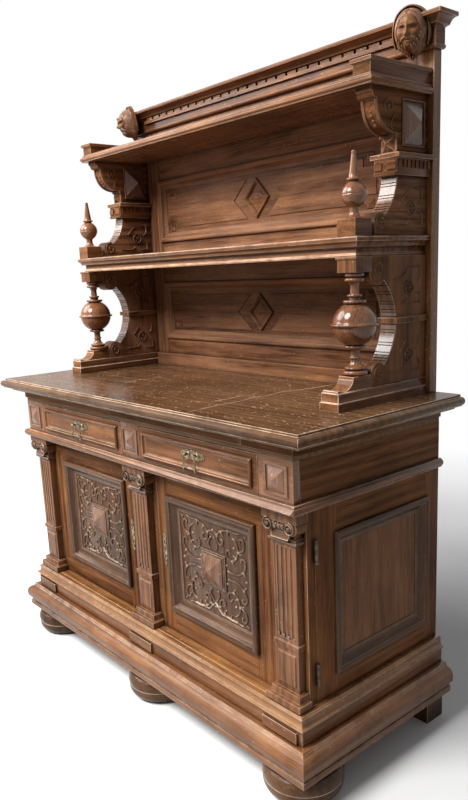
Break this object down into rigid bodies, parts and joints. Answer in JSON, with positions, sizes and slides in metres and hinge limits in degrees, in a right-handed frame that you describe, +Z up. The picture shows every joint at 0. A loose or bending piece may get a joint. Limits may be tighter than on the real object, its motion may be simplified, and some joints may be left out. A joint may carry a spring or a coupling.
{
  "type": "buffet cabinet",
  "caption": "Carved oak buffet cabinet with panelled doors, drawers, a serving slide and a tall shelved gallery on turned balusters.",
  "frame": {"origin": "centre of the footprint, on the floor", "axes": "+Z up, -Y out of the front with the doors and drawers, +X to the right of somebody facing the front"},
  "size_m": [1.564, 0.652, 1.9825],
  "materials": {
    "oak_body": "dark stained oak, worn satin varnish",
    "oak_top": "very dark polished oak, scuffed",
    "oak_carved": "carved dark oak, pale worn edges",
    "oak_inside": "plain unpolished oak",
    "brass": "dull aged brass",
    "iron": "dark oiled iron"
  },
  "bodies": {
    "carcass": {"back_board": "oak_inside", "back_frame": "oak_body", "back_mouldings": "oak_body", "back_panels": "oak_body", "balusters": "oak_body", "base_board": "oak_inside", "carcass_hinges": "iron", "case_sides": "oak_body", "center_pilaster": "oak_body", "corbels": "oak_body", "cornice": "oak_body", "cupboard_shelves": "oak_inside", "drawer_guides": "oak_inside", "dust_board": "oak_inside", "end_blocks": "oak_body", "feet": "oak_body", "finials": "oak_body", "frieze_blocks": "oak_body", "lower_wings": "oak_carved", "masks": "oak_carved", "middle_shelf": "oak_body", "partition": "oak_inside", "plinth_cap_moulding": "oak_body", "plinth_frame": "oak_inside", "plinth_frieze": "oak_body", "plinth_lower_moulding": "oak_body", "posts": "oak_body", "shelf_apron": "oak_body", "side_frames": "oak_body", "side_mouldings": "oak_body", "side_panels": "oak_body", "slide_bed": "oak_inside", "strip_rail": "oak_body", "table_top": "oak_top", "top_shelf": "oak_body", "upper_wings": "oak_carved", "waist_moulding": "oak_body", "wing_caps": "oak_body", "wing_plinths": "oak_body"},
    "door_left": {"door_fittings_left": "brass", "door_frame_left": "oak_body", "door_moulding_left": "oak_body", "door_panel_left": "oak_carved", "door_pilaster_left": "oak_body"},
    "door_right": {"door_fittings_right": "brass", "door_frame_right": "oak_body", "door_moulding_right": "oak_body", "door_panel_right": "oak_carved", "door_pilaster_right": "oak_body"},
    "drawer_left": {"drawer_front_left": "oak_body", "drawer_tray_left": "oak_inside", "pull_plate_left": "brass"},
    "drawer_right": {"drawer_front_right": "oak_body", "drawer_tray_right": "oak_inside", "pull_plate_right": "brass"},
    "bolt_left": {"lock_bolt_left": "iron"},
    "bolt_right": {"lock_bolt_right": "iron"},
    "bail_left": {"pull_bail_left": "brass"},
    "bail_right": {"pull_bail_right": "brass"},
    "slide": {"serving_slide": "oak_body"}
  },
  "joints": [
    {"name": "door_right_hinge", "type": "hinge", "parent": "carcass", "child": "door_right", "pos_m": [0.7054, -0.19425, 0.5], "axis": [0, 0, 1], "range_deg": [0, 110]},
    {"name": "bolt_right_throw", "type": "slide", "parent": "door_right", "child": "bolt_right", "axis": [-1, 0, 0], "range_m": [0, 0.01]},
    {"name": "drawer_right_slide", "type": "slide", "parent": "carcass", "child": "drawer_right", "axis": [0, -1, 0], "range_m": [0, 0.34]},
    {"name": "bail_right_swing", "type": "hinge", "parent": "drawer_right", "child": "bail_right", "pos_m": [0.314, -0.276, 0.872], "axis": [-1, 0, 0], "range_deg": [0, 80]},
    {"name": "door_left_hinge", "type": "hinge", "parent": "carcass", "child": "door_left", "pos_m": [-0.7054, -0.19425, 0.5], "axis": [0, 0, -1], "range_deg": [0, 110]},
    {"name": "bolt_left_throw", "type": "slide", "parent": "door_left", "child": "bolt_left", "axis": [1, 0, 0], "range_m": [0, 0.01]},
    {"name": "drawer_left_slide", "type": "slide", "parent": "carcass", "child": "drawer_left", "axis": [0, -1, 0], "range_m": [0, 0.34]},
    {"name": "bail_left_swing", "type": "hinge", "parent": "drawer_left", "child": "bail_left", "pos_m": [-0.314, -0.276, 0.872], "axis": [-1, 0, 0], "range_deg": [0, 80]},
    {"name": "serving_slide_pull", "type": "slide", "parent": "carcass", "child": "slide", "axis": [0, -1, 0], "range_m": [0, 0.3]}
  ]
}
